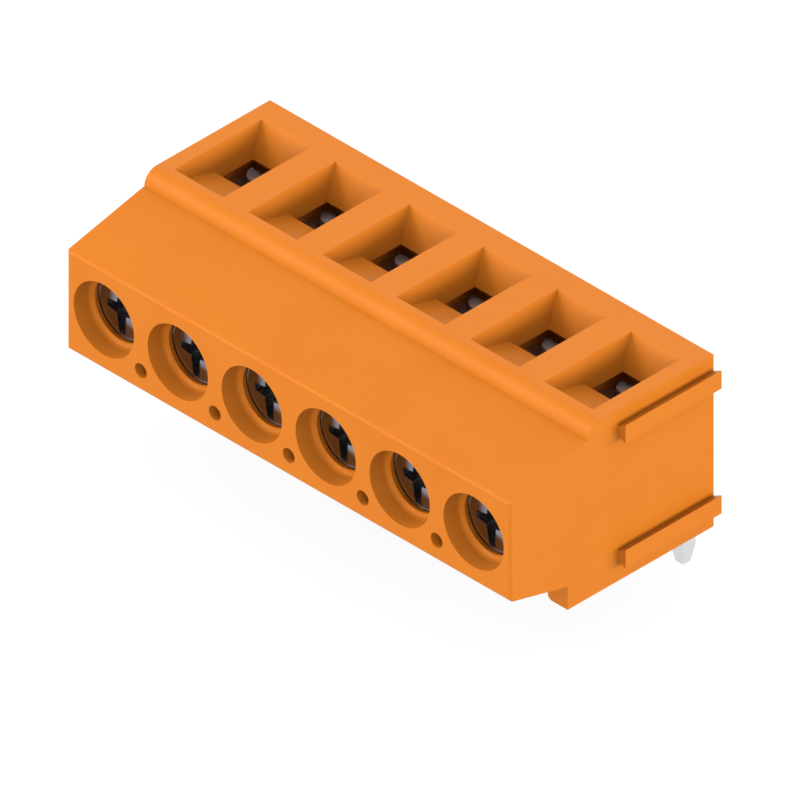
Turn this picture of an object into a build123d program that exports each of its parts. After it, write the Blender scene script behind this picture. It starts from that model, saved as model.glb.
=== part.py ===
"""Six-pole terminal block for circuit boards, with clamping yokes, at a pitch of 5.08 mm.

X runs along the poles, Y from the screw face back to the solder pins, and Z up from the board.
The origin is the middle of the row of pins, on the board. All sizes are in millimetres.
Depths are measured back from the screw face, heights up from the board, and widths across a pole.
"""

import os

from build123d import *

# The row of poles
pole_count = 6
pitch = 5.08

# Outline of the moulding, seen from its end
body_depth = 13.95
body_height = 10.18
face_bottom = 2.40
face_top = 8.18
face_edge_round = 0.18
step_depth = 5.32
step_round = 0.82
nose_foot_height = 1.37

# Feet under the moulding
foot_front = 3.92
foot_width = 1.37
foot_height = 0.40
foot_corner_round = 0.30

# Screw
screw_height = 5.31
head_radius = 1.84
head_height = 1.12
head_edge_round = 0.06
dome_radius = 1.60
dome_height = 0.10
face_rise = 0.09
rim_groove_radius = 1.68
rim_groove_depth = 0.026
rim_land = 0.02
shank_radius = 1.22
tip_chamfer = 0.25
slot_reach = 1.48
cross_reach = 1.02
recess_arm_root = 0.68
recess_arm_end = 0.42
recess_corner_round = 0.06
recess_depth = 0.96
recess_taper = 1

# Screw well in the moulding
well_radius = 2.075
well_depth = 0.91
lip_radius = 1.78
lip_round = 0.25
lip_land = 0.04
head_front_gap = 0.20
head_play = 0.03
head_clearance = 0.07
seat_wall = 0.55
shank_clearance = 0.08

# Pocket in which the yoke slides, open at the bottom
partition = 0.78
pocket_floor = 2.55
pocket_roof = 8.42
pocket_end_gap = 0.17
mouth_wall = 0.78

# Wire funnel
funnel_width = 3.36
funnel_front = 6.51
funnel_back = 12.53
funnel_front_wall = 0.60
throat_width = 2.65
throat_front = 8.99
throat_back = 11.57
throat_height = 8.47
ramp_foot_height = 8.93

# Blind holes between the poles
probe_radius = 0.41
probe_height = 3.55
probe_depth = 2.00

# Strip metal of the current bars
strip = 0.85
bend_inside = 0.15

# Yoke, shown partly open
yoke_back = 11.58
yoke_strip = 0.80
yoke_side_clearance = 0.05
yoke_top = 7.30
yoke_corner_round = 0.60
yoke_opening_travel = 0.85
neck_radius = 1.75
neck_reach = 0.50
thread_clearance = 0.05
tongue_width = 2.84
tongue_top = 7.90
tongue_corner_round = 0.75

# Current bar with its solder pin
bar_width = 2.30
bar_front = 7.65
bar_top = 8.70
bar_clearance = 0.05
bar_run_top = 1.80
pin_width = 0.90
pin_length = 3.50
pin_tip_length = 1.03
pin_tip_width = 0.55
pin_tip_thickness = 0.48
pin_shoulder_inset = 0.55

# Dovetail rails on the right end, with matching grooves in the left end
rail_front = 7.35
rail_reach = 0.55
rail_root = 0.50
rail_outer = 1.07
rail_heights = (1.57, 8.97)
groove_clearance = 0.05

# Places worked out from the sizes above
half_length = pole_count * pitch / 2
front = -(body_depth + strip / 2)
back = front + body_depth
pole_places = [(pole - (pole_count - 1) / 2) * pitch for pole in range(pole_count)]
gap_places = [place + pitch / 2 for place in pole_places[:-1]]
end_foot_place = half_length - foot_width / 2
foot_places = [-end_foot_place, *gap_places, end_foot_place]
pocket_width = pitch - partition
lip_depth = well_depth + lip_round
head_face = lip_depth + lip_land + head_front_gap
seat_depth = head_face + head_height + head_play
tip_depth = bar_front - bar_clearance
yoke_front = tip_depth - yoke_opening_travel - yoke_strip
yoke_length = yoke_back - yoke_front
yoke_width = pocket_width - 2 * yoke_side_clearance
yoke_bottom = 2 * screw_height - yoke_top
pocket_front = seat_depth + seat_wall
pocket_back = yoke_back + yoke_opening_travel + pocket_end_gap
mouth_front = foot_front + mouth_wall
pin_back = body_depth + strip
pin_shoulder = body_depth - pin_shoulder_inset


def end_plane(place):
    """Plane across the poles: its x is the depth from the screw face, its y the height."""
    return Plane(origin=(place, front, 0), x_dir=(0, 1, 0), z_dir=(1, 0, 0))


def face_plane(place, depth):
    """Plane parallel to the screw face, seen from the front: its x is across, its y the height."""
    return Plane(origin=(place, front + depth, 0), x_dir=(1, 0, 0), z_dir=(0, -1, 0))


def floor_plane(place, height):
    """Plane parallel to the board: its x is across the pole, its y the depth from the face."""
    return Plane(origin=(place, front, height), x_dir=(1, 0, 0), z_dir=(0, 0, 1))


def save(piece, label):
    """Name a finished piece and write it to its own file."""
    piece.label = label
    export_step(piece, f"parts/{label}.step")


def screw_well():
    """Stepped hole for one screw: well, rounded lip, chamber for the head, hole for the shank."""
    with BuildPart() as well:
        with BuildSketch(end_plane(0)):
            with BuildLine():
                shelf = (well_depth, screw_height + lip_radius + lip_round)
                Polyline(
                    (pocket_front, screw_height),
                    (0, screw_height),
                    (0, screw_height + well_radius),
                    (well_depth, screw_height + well_radius),
                    shelf,
                )
                lip_edge = (lip_depth, screw_height + lip_radius)
                RadiusArc(shelf, lip_edge, lip_round)
                Polyline(
                    lip_edge,
                    (lip_depth + lip_land, screw_height + lip_radius),
                    (lip_depth + lip_land, screw_height + head_radius + head_clearance),
                    (seat_depth, screw_height + head_radius + head_clearance),
                    (seat_depth, screw_height + shank_radius + shank_clearance),
                    (pocket_front, screw_height + shank_radius + shank_clearance),
                    (pocket_front, screw_height),
                )
            make_face()
        revolve(axis=Axis((0, front, screw_height), (0, 1, 0)))
    return well.part


def wire_funnel():
    """Wire entry: a rectangular mouth with a ramp in front and walls that draw in to a throat."""
    with BuildPart() as funnel:
        with BuildSketch(end_plane(0)):
            with BuildLine():
                Polyline(
                    (funnel_front, body_height),
                    (funnel_front, body_height - funnel_front_wall),
                    (throat_front, ramp_foot_height),
                    (throat_front, pocket_roof),
                    (throat_back, pocket_roof),
                    (throat_back, throat_height),
                    (funnel_back, body_height),
                    close=True,
                )
            make_face()
        extrude(amount=funnel_width / 2, both=True)
        with BuildSketch(face_plane(0, 0)):
            with BuildLine():
                Polyline(
                    (-throat_width / 2, pocket_roof),
                    (-throat_width / 2, throat_height),
                    (-funnel_width / 2, body_height),
                    (funnel_width / 2, body_height),
                    (throat_width / 2, throat_height),
                    (throat_width / 2, pocket_roof),
                    close=True,
                )
            make_face()
        extrude(amount=-body_depth, mode=Mode.INTERSECT)
    return funnel.part


def yoke_pocket():
    """Space for the yoke, with its mouth at the bottom and the seats of the current bar."""
    bar_slot = bar_width + 2 * bar_clearance
    with BuildPart() as pocket:
        with BuildSketch(end_plane(0)):
            with BuildLine():
                Polyline(
                    (pocket_front, pocket_floor),
                    (pocket_front, pocket_roof),
                    (pocket_back, pocket_roof),
                    (pocket_back, 0),
                    (mouth_front, 0),
                    (mouth_front, pocket_floor),
                    close=True,
                )
            make_face()
        extrude(amount=pocket_width / 2, both=True)
        with BuildSketch(end_plane(0)):
            with Locations((bar_front - bar_clearance, pocket_roof)):
                slot_height = bar_top + bar_clearance - pocket_roof
                Rectangle(strip + 2 * bar_clearance, slot_height, align=(Align.MIN, Align.MIN))
            with Locations((pocket_back, 0)):
                Rectangle(body_depth - pocket_back, bar_run_top, align=(Align.MIN, Align.MIN))
        extrude(amount=bar_slot / 2, both=True)
    return pocket.part


def rail_outline(growth):
    """Dovetail outline, from its root at x = 0 outwards, larger all round by the growth."""
    with BuildLine() as outline:
        Polyline(
            (0, -rail_root / 2 - growth),
            (rail_reach + growth, -rail_outer / 2 - growth),
            (rail_reach + growth, rail_outer / 2 + growth),
            (0, rail_root / 2 + growth),
            close=True,
        )
    return outline.line


def housing_moulding():
    """The one-piece moulding."""
    with BuildPart() as pole_cavity:
        add(screw_well())
        add(wire_funnel())
        add(yoke_pocket())

    with BuildPart() as housing:
        with BuildSketch(end_plane(-half_length)):
            with BuildLine():
                step_foot = (step_depth, body_height - step_round)
                Polyline(
                    step_foot,
                    (0, face_top),
                    (0, face_bottom),
                    (foot_front, nose_foot_height),
                    (foot_front, 0),
                    (body_depth, 0),
                    (body_depth, body_height),
                    (step_depth + step_round, body_height),
                )
                RadiusArc((step_depth + step_round, body_height), step_foot, -step_round)
            make_face()
        extrude(amount=2 * half_length)
        face_edges = housing.faces().sort_by(Axis.Y)[0].edges()
        fillet(face_edges, face_edge_round)

        # The underside is raised between the feet
        with BuildSketch(end_plane(0)):
            with Locations((foot_front, 0)):
                Rectangle(body_depth - foot_front, foot_height, align=(Align.MIN, Align.MIN))
        extrude(amount=half_length, both=True, mode=Mode.SUBTRACT)
        with BuildSketch(floor_plane(0, 0)):
            with Locations(*[(place, foot_front) for place in foot_places]):
                Rectangle(foot_width, body_depth - foot_front, align=(Align.CENTER, Align.MIN))
        extrude(amount=foot_height)
        foot_soles = housing.faces().group_by(Axis.Z)[0]
        foot_sides = foot_soles.edges().filter_by(Axis.Y).sort_by(Axis.X)
        fillet(foot_sides[1:-1], foot_corner_round)

        with Locations(*[(place, 0, 0) for place in pole_places]):
            add(pole_cavity.part, mode=Mode.SUBTRACT)
        with BuildSketch(face_plane(0, 0)):
            with Locations(*[(place, probe_height) for place in gap_places]):
                Circle(probe_radius)
        extrude(amount=-probe_depth, mode=Mode.SUBTRACT)

        for height in rail_heights:
            right_end = Plane(origin=(half_length, back, height), x_dir=(1, 0, 0), z_dir=(0, -1, 0))
            with BuildSketch(right_end):
                add(rail_outline(0))
                make_face()
            extrude(amount=body_depth - rail_front)
            left_end = Plane(origin=(-half_length, back, height), x_dir=(1, 0, 0), z_dir=(0, -1, 0))
            with BuildSketch(left_end):
                add(rail_outline(groove_clearance))
                make_face()
            extrude(amount=body_depth - rail_front + groove_clearance, mode=Mode.SUBTRACT)
    return housing.part


def recess_arms(reach):
    """A pair of arms of the screw's recess, narrower at their ends, along the sketch's y."""
    root = recess_arm_root / 2
    end = recess_arm_end / 2
    with BuildSketch(Plane.XY) as arms:
        with BuildLine():
            Polyline(
                (root, 0),
                (end, reach),
                (-end, reach),
                (-root, 0),
                (-end, -reach),
                (end, -reach),
                close=True,
            )
        make_face()
    return arms.sketch


def clamp_screw(place):
    """Screw whose low domed face stands in a groove; the recess's upright arms form a slot."""
    seat = head_face + head_height
    dome_rim = head_face - face_rise
    dome_top = dome_rim - dome_height
    dome_sphere = (dome_radius**2 + dome_height**2) / (2 * dome_height)
    with BuildPart() as screw:
        with BuildSketch(end_plane(place)):
            with BuildLine():
                RadiusArc(
                    (dome_top, screw_height),
                    (dome_rim, screw_height + dome_radius),
                    dome_sphere,
                )
                Polyline(
                    (dome_rim, screw_height + dome_radius),
                    (head_face + rim_groove_depth, screw_height + rim_groove_radius),
                    (head_face, screw_height + head_radius - head_edge_round - rim_land),
                    (head_face, screw_height + head_radius),
                    (seat, screw_height + head_radius),
                    (seat, screw_height + shank_radius),
                    (tip_depth - tip_chamfer, screw_height + shank_radius),
                    (tip_depth, screw_height + shank_radius - tip_chamfer),
                    (tip_depth, screw_height),
                    (dome_top, screw_height),
                )
            make_face()
        revolve(axis=Axis((place, front, screw_height), (0, 1, 0)))
        circles = screw.edges().filter_by(GeomType.CIRCLE)
        head_circles = circles.group_by(SortBy.RADIUS)[-2]
        fillet(head_circles.sort_by(Axis.Y)[0], head_edge_round)
        with BuildSketch(face_plane(place, dome_top)) as recess:
            with Locations((0, screw_height)):
                add(recess_arms(slot_reach))
                add(recess_arms(cross_reach), rotation=90)
            inner_corners = recess.vertices().sort_by_distance((0, screw_height, 0))[:4]
            fillet(inner_corners, recess_corner_round)
        extrude(amount=-recess_depth, taper=recess_taper, mode=Mode.SUBTRACT)
    return screw.part


def clamp_yoke(place):
    """Closed ring around the wire space and the bar, with a threaded neck and a raised tongue."""
    with BuildPart() as yoke:
        with BuildSketch(floor_plane(place, yoke_bottom)):
            with Locations((0, yoke_back - yoke_length / 2)):
                RectangleRounded(yoke_width, yoke_length, yoke_corner_round)
                ring_hole = (yoke_width - 2 * yoke_strip, yoke_length - 2 * yoke_strip)
                RectangleRounded(*ring_hole, bend_inside, mode=Mode.SUBTRACT)
        extrude(amount=yoke_top - yoke_bottom)
        with BuildSketch(floor_plane(place, yoke_top - yoke_strip)) as tongue:
            with Locations((0, yoke_back - yoke_strip / 2)):
                Rectangle(tongue_width, yoke_strip)
            inner_corners = tongue.vertices().group_by(Axis.Y)[0]
            fillet(inner_corners, tongue_corner_round)
        extrude(amount=tongue_top - yoke_top + yoke_strip)
        with BuildSketch(face_plane(place, yoke_front)):
            with Locations((0, screw_height)):
                Circle(neck_radius)
        extrude(amount=neck_reach)
        with BuildSketch(face_plane(place, yoke_front - neck_reach)):
            with Locations((0, screw_height)):
                Circle(shank_radius + thread_clearance)
        extrude(amount=-(neck_reach + yoke_strip), mode=Mode.SUBTRACT)
    return yoke.part


def current_bar(place):
    """Bent strip: a contact plate inside the yoke, a run under it, and a solder pin at the back."""
    taper_start = -(pin_length - pin_tip_length)
    with BuildPart() as bar:
        with BuildSketch(end_plane(place)):
            with BuildLine():
                FilletPolyline(
                    (bar_front + strip, bar_top),
                    (bar_front + strip, bar_run_top),
                    (pin_back, bar_run_top),
                    (pin_back, taper_start),
                    radius=(bend_inside, bend_inside + strip),
                )
                FilletPolyline(
                    (body_depth, taper_start),
                    (body_depth, bar_run_top - strip),
                    (bar_front, bar_run_top - strip),
                    (bar_front, bar_top),
                    radius=(bend_inside, bend_inside + strip),
                )
                Line((bar_front, bar_top), (bar_front + strip, bar_top))
                Line((pin_back, taper_start), (body_depth, taper_start))
            make_face()
        extrude(amount=bar_width / 2, both=True)

        # Behind the shoulders the strip is only as wide as the pin
        with BuildSketch(floor_plane(place, bar_run_top)):
            with Locations((0, pin_shoulder)):
                Rectangle(bar_width, pin_back - pin_shoulder, align=(Align.CENTER, Align.MIN))
                Rectangle(
                    pin_width,
                    pin_back - pin_shoulder,
                    align=(Align.CENTER, Align.MIN),
                    mode=Mode.SUBTRACT,
                )
        extrude(amount=-(bar_run_top + pin_length), mode=Mode.SUBTRACT)

        # Tapered tip
        with BuildSketch(floor_plane(place, taper_start)):
            with Locations((0, body_depth + strip / 2)):
                Rectangle(pin_width, strip)
        with BuildSketch(floor_plane(place, -pin_length)):
            with Locations((0, body_depth + strip / 2)):
                Rectangle(pin_tip_width, pin_tip_thickness)
        loft()
    return bar.part


os.makedirs("parts", exist_ok=True)
save(housing_moulding(), "housing")
for number, pole_place in enumerate(pole_places, start=1):
    save(clamp_screw(pole_place), f"clamp_screw_{number}")
    save(clamp_yoke(pole_place), f"clamp_yoke_{number}")
    save(current_bar(pole_place), f"current_bar_{number}")
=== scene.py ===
"""Looks of the six-pole terminal block: moulded polyamide, threaded screws, plated yokes and tinned pins.

All lengths are in metres. X runs along the poles, Y back from the screws to the pins, and Z up.
"""

import math

import bmesh
import bpy
from mathutils import Matrix, Vector


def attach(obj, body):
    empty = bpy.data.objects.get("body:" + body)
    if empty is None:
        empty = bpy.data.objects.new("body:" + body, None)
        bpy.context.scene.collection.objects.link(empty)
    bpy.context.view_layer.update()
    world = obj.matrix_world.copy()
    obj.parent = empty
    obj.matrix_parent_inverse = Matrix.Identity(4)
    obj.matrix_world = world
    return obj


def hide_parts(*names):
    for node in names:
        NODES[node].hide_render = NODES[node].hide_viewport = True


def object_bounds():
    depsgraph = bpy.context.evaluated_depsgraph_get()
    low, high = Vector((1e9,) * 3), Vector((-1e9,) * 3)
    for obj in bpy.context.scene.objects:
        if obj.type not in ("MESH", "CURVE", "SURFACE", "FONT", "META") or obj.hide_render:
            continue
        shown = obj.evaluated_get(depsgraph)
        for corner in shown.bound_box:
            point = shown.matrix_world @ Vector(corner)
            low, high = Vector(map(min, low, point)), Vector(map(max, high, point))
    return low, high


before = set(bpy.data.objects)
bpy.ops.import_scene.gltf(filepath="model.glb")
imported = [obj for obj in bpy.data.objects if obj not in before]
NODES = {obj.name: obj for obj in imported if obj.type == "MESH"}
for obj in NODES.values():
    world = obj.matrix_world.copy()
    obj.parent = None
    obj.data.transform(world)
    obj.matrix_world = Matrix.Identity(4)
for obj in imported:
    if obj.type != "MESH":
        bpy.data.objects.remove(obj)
cad_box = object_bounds()

MM = 0.001
SCREW_FACE = cad_box[0][1]
# A hair below the pins' tips, so that floor and tips don't lie in one plane
FLOOR_HEIGHT = cad_box[0][2] - 0.02 * MM
FLOOR_HALF_WIDTH = 600 * MM

# The row of poles and their screws; depths are measured back from the screw face
POLES = 6
PITCH = 5.08 * MM
SCREW_HEIGHT = 5.31 * MM
FACE_RINGS_END = 1.50 * MM
HEAD_BACK = 2.52 * MM
SHANK_RADIUS = 1.22 * MM
SHANK_TIP = 7.60 * MM
TIP_CHAMFER = 0.25 * MM
RECESS_REACH = 1.55 * MM
RECESS_FLOOR = 2.17 * MM
RECESS_MARGIN = 0.05 * MM

# Rolled metric thread, which starts inside the head; the tooth's places along it are shares of the lead
THREAD_START = HEAD_BACK - 0.05 * MM
THREAD_LEAD = 0.45 * MM
THREAD_DEPTH = 0.26 * MM
ROOT_END = 0.25
CREST_START = 0.56
CREST_END = 0.69
STEPS_ROUND = 32
SHARP_ANGLE = math.radians(20)

# How near two points are when they count as one, and how near a point is to a named place
SAME_POINT = 0.0001 * MM
AT_PLACE = 0.01 * MM

# The photograph's view
VIEW_AZIMUTH = 45
VIEW_ELEVATION = 35
VIEW_WIDTH = 38.86 * MM
VIEW_AIM = Vector((1.96, -8.69, 5.0)) * MM
EYE_DISTANCE = 200 * MM

# How bright the sky is as a light, how much light the floor throws back, and its own glow to the eye
SKY = 0.66
FLOOR_TONE = 0.22
FLOOR_GLOW = 0.86

# Softboxes: name, azimuth and elevation in degrees, share of full white on a face turned to it, and size
LAMP_DISTANCE = 400 * MM
WIDE_SOFTBOX = (500 * MM, 120 * MM)
SMALL_SOFTBOX = (120 * MM, 120 * MM)
LAMPS = (
    ("corner_lamp", 40, 10, 0.26, WIDE_SOFTBOX),
    ("front_lamp", -30, 10, 0.28, WIDE_SOFTBOX),
    ("left_lamp", -44, 32, 0.20, SMALL_SOFTBOX),
    ("right_lamp", 115, 10, 0.52, WIDE_SOFTBOX),
    ("back_lamp", 190, 10, 0.30, WIDE_SOFTBOX),
    ("left_end_lamp", -100, 10, 0.30, WIDE_SOFTBOX),
)


def srgb(hex_value):
    """Linear colour of an sRGB hex value."""
    parts = [int(hex_value[place:place + 2], 16) / 255 for place in (1, 3, 5)]
    linear = [c / 12.92 if c <= 0.04045 else ((c + 0.055) / 1.055) ** 2.4 for c in parts]
    return (*linear, 1.0)


def add_node(tree, kind, inputs=None, **settings):
    """Add a node with its settings; each input takes a value or follows another node's socket."""
    node = tree.nodes.new(kind)
    for name, value in settings.items():
        setattr(node, name, value)
    for name, value in (inputs or {}).items():
        socket = node.inputs[name]
        if isinstance(value, bpy.types.NodeSocket):
            tree.links.new(value, socket)
        else:
            socket.default_value = value
    return node


def new_material(name):
    """Empty node material with its shader and the object's own coordinates."""
    material = bpy.data.materials.new(name)
    material.use_nodes = True
    tree = material.node_tree
    shader = tree.nodes["Principled BSDF"]
    place = add_node(tree, "ShaderNodeTexCoord").outputs["Object"]
    return material, tree, shader, place


def multiply(tree, value, factor):
    """Product of a socket's value and a number or another socket's value."""
    return add_node(tree, "ShaderNodeMath", {0: value, 1: factor}, operation="MULTIPLY").outputs[0]


def noise(tree, place, size_mm, detail=2.0):
    """Noise whose features are about the given size across."""
    inputs = {"Vector": place, "Scale": 1 / (size_mm * MM), "Detail": detail}
    return add_node(tree, "ShaderNodeTexNoise", inputs).outputs["Fac"]


def spread(tree, value, low, high):
    """Map a pattern's middle range onto a range of values."""
    inputs = {"Value": value, "From Min": 0.3, "From Max": 0.7, "To Min": low, "To Max": high}
    return add_node(tree, "ShaderNodeMapRange", inputs).outputs["Result"]


def moulded_polyamide():
    """Polyamide 66 from a spark-eroded mould: an even satin orange with a very fine grain."""
    material, tree, shader, place = new_material("moulded_polyamide")
    cloud = spread(tree, noise(tree, place, 3.0), 0.0, 1.0)
    colours = {0: cloud, 6: srgb("#ef8625"), 7: srgb("#f18a28")}
    tone = add_node(tree, "ShaderNodeMix", colours, data_type="RGBA").outputs[2]
    # Light thrown to and fro in wells and funnels sees a darker brown tone than the eye does: painted
    # shade that darkens the hollows
    ray = add_node(tree, "ShaderNodeLightPath").outputs
    painted_shade_choice = {0: ray["Is Diffuse Ray"], 6: tone, 7: srgb("#5e3224")}
    tone_with_painted_shade = add_node(tree, "ShaderNodeMix", painted_shade_choice, data_type="RGBA").outputs[2]
    # The mould's real grain of 0.02 mm is too fine to show, so it is drawn at 0.09 mm
    grain = noise(tree, place, 0.09, 3.0)
    relief = {"Height": grain, "Strength": 0.12, "Distance": 0.01 * MM}
    bump = add_node(tree, "ShaderNodeBump", relief)
    tree.links.new(tone_with_painted_shade, shader.inputs["Base Color"])
    tree.links.new(spread(tree, grain, 0.36, 0.46), shader.inputs["Roughness"])
    tree.links.new(bump.outputs["Normal"], shader.inputs["Normal"])
    shader.inputs["IOR"].default_value = 1.5
    shader.inputs["Specular IOR Level"].default_value = 0.15
    return material


def lathe_rings(tree, place):
    """Fine rings round each pole's screw, as the lathe leaves them on the head's face."""
    half = PITCH / 2
    cell = {0: place, 1: (half, 1, 1), 2: (-half, -1, -1)}
    one_pole = add_node(tree, "ShaderNodeVectorMath", cell, operation="WRAP").outputs[0]
    centred = add_node(tree, "ShaderNodeMapping", {"Vector": one_pole, "Location": (0, 0, -SCREW_HEIGHT)})
    across = add_node(tree, "ShaderNodeSeparateXYZ", {0: centred.outputs[0]}).outputs
    flat = add_node(tree, "ShaderNodeCombineXYZ", {0: across["X"], 2: across["Z"]}).outputs[0]
    radius = add_node(tree, "ShaderNodeVectorMath", {0: flat}, operation="LENGTH").outputs["Value"]
    # Real feed marks are about 0.03 mm apart, too fine to show, so they are drawn at 0.09 mm
    ring_turns = multiply(tree, radius, 2 * math.pi / (0.09 * MM))
    rings = add_node(tree, "ShaderNodeMath", {0: ring_turns}, operation="SINE").outputs[0]
    before_rim = {0: across["Y"], 1: SCREW_FACE + FACE_RINGS_END}
    on_face = add_node(tree, "ShaderNodeMath", before_rim, operation="LESS_THAN").outputs[0]
    return multiply(tree, rings, on_face)


def plated_screw_steel():
    """Blue-passivated zinc on turned steel: a dim mirror with faint lathe rings."""
    material, tree, shader, place = new_material("plated_screw_steel")
    relief = {"Height": lathe_rings(tree, place), "Strength": 1.0, "Distance": 0.0005 * MM}
    bump = add_node(tree, "ShaderNodeBump", relief)
    shader.inputs["Base Color"].default_value = srgb("#828a98")
    shader.inputs["Metallic"].default_value = 1.0
    tree.links.new(spread(tree, noise(tree, place, 0.5), 0.10, 0.18), shader.inputs["Roughness"])
    tree.links.new(bump.outputs["Normal"], shader.inputs["Normal"])
    return material


def plated_metal(name, colour, roughness, grain_mm, dent_mm):
    """Plated metal, tumbled after stamping or punching: small dents that break the reflection."""
    material, tree, shader, place = new_material(name)
    grain = noise(tree, place, grain_mm, 3.0)
    relief = {"Height": grain, "Strength": 1.0, "Distance": dent_mm * MM}
    bump = add_node(tree, "ShaderNodeBump", relief)
    shader.inputs["Base Color"].default_value = srgb(colour)
    shader.inputs["Metallic"].default_value = 1.0
    tree.links.new(spread(tree, grain, roughness - 0.04, roughness + 0.06), shader.inputs["Roughness"])
    tree.links.new(bump.outputs["Normal"], shader.inputs["Normal"])
    return material


def dress(node_name, material):
    """Give a carried-over solid its material."""
    mesh = NODES[node_name].data
    mesh.materials.clear()
    mesh.materials.append(material)


def in_order(shape):
    """Same shape with corners and faces sorted by place, since cuts leave their order to chance."""
    corners = sorted(shape.verts, key=lambda corner: tuple(corner.co))
    number = {corner: count for count, corner in enumerate(corners)}
    rings = [[number[corner] for corner in face.verts] for face in shape.faces]
    ordered = bmesh.new()
    places = [ordered.verts.new(corner.co) for corner in corners]
    for ring in sorted(rings, key=sorted):
        ordered.faces.new([places[count] for count in ring])
    ordered.normal_update()
    shape.free()
    return ordered


def threaded_rod(axis):
    """Shank with a rolled thread: a tooth's outline, repeated along the axis and spun in a helix."""
    shape = bmesh.new()
    turns = round((SHANK_TIP - THREAD_START) / THREAD_LEAD) + 2
    tooth = ((0, THREAD_DEPTH), (ROOT_END, THREAD_DEPTH), (CREST_START, 0), (CREST_END, 0))
    outline = [(turn + share, inward) for turn in range(turns) for share, inward in tooth]
    outline.append((turns, THREAD_DEPTH))
    corners = []
    for teeth, inward in outline:
        # The outline begins one tooth early, and the spin's uneven ends are cut off below
        along = THREAD_START + (teeth - 1) * THREAD_LEAD
        corners.append(shape.verts.new(axis + Vector((SHANK_RADIUS - inward, along, 0))))
    edges = [shape.edges.new(pair) for pair in zip(corners, corners[1:])]
    step_forward = (0, THREAD_LEAD / STEPS_ROUND, 0)
    bmesh.ops.spin(
        shape, geom=corners + edges, cent=axis, axis=(0, 1, 0), dvec=step_forward,
        angle=2 * math.pi, steps=STEPS_ROUND, use_merge=False, use_duplicate=False,
    )
    bmesh.ops.remove_doubles(shape, verts=shape.verts, dist=SAME_POINT)
    for depth, outwards in ((THREAD_START, -1), (SHANK_TIP, 1)):
        cut = bmesh.ops.bisect_plane(
            shape, geom=shape.verts[:] + shape.edges[:] + shape.faces[:], dist=SAME_POINT / 10,
            plane_co=axis + Vector((0, depth, 0)), plane_no=(0, outwards, 0), clear_outer=True,
        )
        rim = [part for part in cut["geom_cut"] if isinstance(part, bmesh.types.BMEdge)]
        bmesh.ops.edgeloop_fill(shape, edges=rim)
    # The chamfer at the tip takes the crests down to the root
    for corner in shape.verts:
        across = corner.co - axis
        depth, across.y = across.y, 0
        reach = SHANK_RADIUS - max(0, depth - (SHANK_TIP - TIP_CHAMFER))
        if across.length > reach:
            corner.co = axis + across.normalized() * reach + Vector((0, depth, 0))
    bmesh.ops.recalc_face_normals(shape, faces=shape.faces)
    shape = in_order(shape)
    for face in shape.faces:
        face.smooth = True
    for edge in shape.edges:
        edge.smooth = edge.calc_face_angle(0) < SHARP_ANGLE
    return shape


def bare_head(name, axis):
    """Copy of a screw's solid without its plain shank, closed where the shank was."""

    def at_head_back(corner):
        return abs(corner.co.y - axis.y - HEAD_BACK) < AT_PLACE

    def on_shank_ring(corner):
        reach = math.hypot(corner.co.x - axis.x, corner.co.z - axis.z)
        return at_head_back(corner) and abs(reach - SHANK_RADIUS) < AT_PLACE

    shape = bmesh.new()
    shape.from_mesh(NODES[name].data)
    plain_shank = [
        face for face in shape.faces
        if all(corner.co.y - axis.y > HEAD_BACK - AT_PLACE for corner in face.verts)
        and not all(at_head_back(corner) for corner in face.verts)
    ]
    bmesh.ops.delete(shape, geom=plain_shank, context="FACES")
    # Only the hole's own edge is merged and closed, so that the head keeps the solid's shading
    ring = [corner for corner in shape.verts if on_shank_ring(corner)]
    bmesh.ops.remove_doubles(shape, verts=ring, dist=SAME_POINT)
    hole = [edge for edge in shape.edges if edge.is_boundary and all(map(on_shank_ring, edge.verts))]
    bmesh.ops.edgeloop_fill(shape, edges=hole)
    return shape


def plate_screw(mesh, axis, plating, punched_plating):
    """Give a screw its plating; the faces of its punched recess get their own, duller one."""
    mesh.materials.append(plating)
    mesh.materials.append(punched_plating)
    for face in mesh.polygons:
        across, depth, up = face.center - axis
        near_recess = math.hypot(across, up) < RECESS_REACH and depth < RECESS_FLOOR + RECESS_MARGIN
        faces_front = face.normal.y <= -0.9
        on_floor = depth > RECESS_FLOOR - RECESS_MARGIN
        face.material_index = 1 if near_recess and (on_floor or not faces_front) else 0


def threaded_screw(pole, plating, punched_plating):
    """Screw that stands for the solid: the solid's own head on a threaded shank of the same size."""
    name = f"clamp_screw_{pole}"
    axis = Vector(((pole - (POLES + 1) / 2) * PITCH, SCREW_FACE, SCREW_HEIGHT))
    mesh = bpy.data.meshes.new(f"threaded_{name}")
    rod = threaded_rod(axis)
    rod.to_mesh(mesh)
    rod.free()
    head = bare_head(name, axis)
    head.from_mesh(mesh)
    head.to_mesh(mesh)
    head.free()
    plate_screw(mesh, axis, plating, punched_plating)
    screw = bpy.data.objects.new(f"threaded_{name}", mesh)
    bpy.context.scene.collection.objects.link(screw)
    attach(screw, f"screw_{pole}")
    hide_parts(name)


def seen_directly(tree):
    """One for camera rays and for what metal and glass reflect or let through, else zero."""
    ray = add_node(tree, "ShaderNodeLightPath").outputs
    either = {0: ray["Is Camera Ray"], 1: ray["Is Glossy Ray"]}
    first = add_node(tree, "ShaderNodeMath", either, use_clamp=True).outputs[0]
    both = {0: first, 1: ray["Is Transmission Ray"]}
    return add_node(tree, "ShaderNodeMath", both, use_clamp=True).outputs[0]


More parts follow.
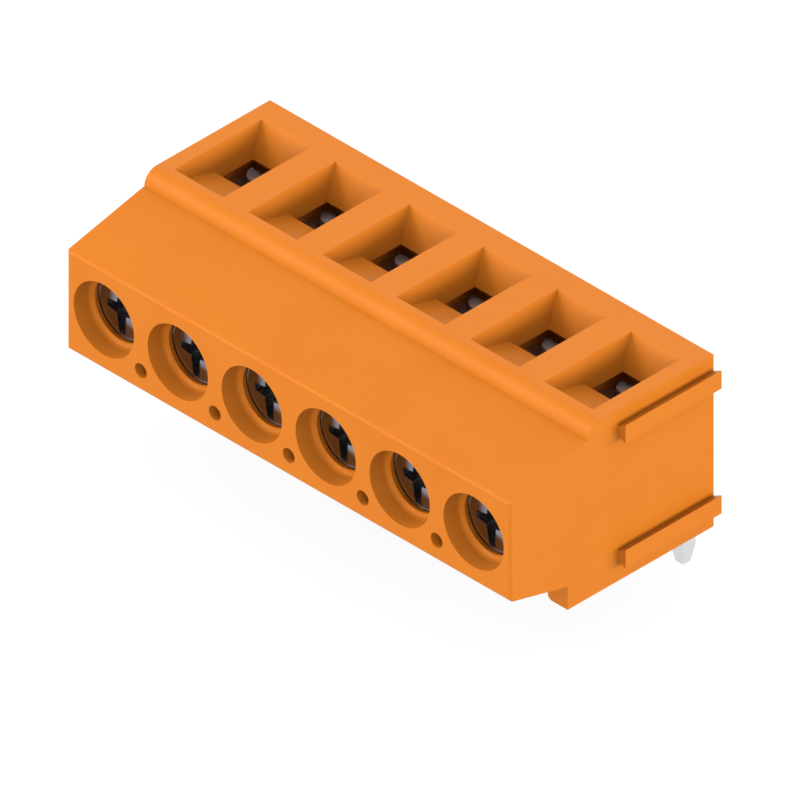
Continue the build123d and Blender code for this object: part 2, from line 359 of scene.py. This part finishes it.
def white_world():
    """White sky all round: full white where it is seen, dimmer as a light."""
    world = bpy.data.worlds.new("studio")
    world.use_nodes = True
    bpy.context.scene.world = world
    tree = world.node_tree
    light = tree.nodes["Background"]
    light.inputs["Color"].default_value = (1, 1, 1, 1)
    light.inputs["Strength"].default_value = SKY
    white = add_node(tree, "ShaderNodeBackground", {"Color": (1, 1, 1, 1), "Strength": 1.0})
    choice = {0: seen_directly(tree), 1: light.outputs[0], 2: white.outputs[0]}
    mix = add_node(tree, "ShaderNodeMixShader", choice)
    tree.links.new(mix.outputs[0], tree.nodes["World Output"].inputs["Surface"])


def white_floor():
    """Matt paper floor under the pins; it keeps the block's shadow and looks white all the same."""
    mesh = bpy.data.meshes.new("floor")
    shape = bmesh.new()
    place = Matrix.Translation((0, 0, FLOOR_HEIGHT))
    bmesh.ops.create_grid(shape, x_segments=1, y_segments=1, size=FLOOR_HALF_WIDTH, matrix=place)
    shape.to_mesh(mesh)
    shape.free()
    floor = bpy.data.objects.new("floor", mesh)
    bpy.context.scene.collection.objects.link(floor)
    material, tree, shader, _ = new_material("matt_paper")
    shader.inputs["Base Color"].default_value = (FLOOR_TONE, FLOOR_TONE, FLOOR_TONE, 1)
    shader.inputs["Roughness"].default_value = 0.9
    shader.inputs["Specular IOR Level"].default_value = 0.0
    glow = add_node(tree, "ShaderNodeEmission", {"Color": (1, 1, 1, 1), "Strength": FLOOR_GLOW})
    lit = add_node(tree, "ShaderNodeAddShader", {0: shader.outputs[0], 1: glow.outputs[0]})
    choice = {0: seen_directly(tree), 1: shader.outputs[0], 2: lit.outputs[0]}
    mix = add_node(tree, "ShaderNodeMixShader", choice)
    tree.links.new(mix.outputs[0], tree.nodes["Material Output"].inputs["Surface"])
    mesh.materials.append(material)


def direction(azimuth, elevation):
    """Unit vector towards a place round the block; azimuth 0 is in front, 90 to the right."""
    turn = math.radians(azimuth)
    rise = math.radians(elevation)
    level = math.cos(rise)
    return Vector((math.sin(turn) * level, -math.cos(turn) * level, math.sin(rise)))


def soft_lamp(name, azimuth, elevation, share, size):
    """Softbox that lights a white face turned to it by the given share of full white."""
    lamp = bpy.data.lights.new(name, "AREA")
    lamp.shape = "RECTANGLE"
    lamp.size, lamp.size_y = size
    lamp.energy = share * math.pi**2 * LAMP_DISTANCE**2
    holder = bpy.data.objects.new(name, lamp)
    towards = direction(azimuth, elevation)
    holder.location = towards * LAMP_DISTANCE
    holder.rotation_euler = towards.to_track_quat("Z", "Y").to_euler()
    bpy.context.scene.collection.objects.link(holder)


def camera():
    """Parallel view from the front, right and above, at the photograph's scale."""
    lens = bpy.data.cameras.new("camera")
    lens.type = "ORTHO"
    lens.ortho_scale = VIEW_WIDTH
    lens.clip_start = 1 * MM
    lens.clip_end = 2000 * MM
    eye = bpy.data.objects.new("camera", lens)
    bpy.context.scene.collection.objects.link(eye)
    towards = direction(VIEW_AZIMUTH, VIEW_ELEVATION)
    eye.location = VIEW_AIM + towards * EYE_DISTANCE
    eye.rotation_euler = towards.to_track_quat("Z", "Y").to_euler()
    bpy.context.scene.camera = eye


camera()
bpy.context.scene.view_settings.view_transform = "Standard"
white_world()
white_floor()
for lamp in LAMPS:
    soft_lamp(*lamp)

dress("housing", moulded_polyamide())
screw_plating = plated_screw_steel()
# Zinc over punched steel: the punch leaves the recess dull
punched_plating = plated_metal(
    "punched_recess_steel", colour="#a2a1a2", roughness=0.24, grain_mm=0.5, dent_mm=0.0004,
)
# Zinc over bent steel strip, dull from the barrel
yoke_plating = plated_metal(
    "plated_yoke_steel", colour="#ced2da", roughness=0.38, grain_mm=0.3, dent_mm=0.0015,
)
# Matt tin over brass, so that solder wets it
bar_plating = plated_metal(
    "tinned_brass", colour="#d6d6d5", roughness=0.32, grain_mm=0.2, dent_mm=0.0015,
)
for pole in range(1, POLES + 1):
    threaded_screw(pole, screw_plating, punched_plating)
    dress(f"clamp_yoke_{pole}", yoke_plating)
    dress(f"current_bar_{pole}", bar_plating)
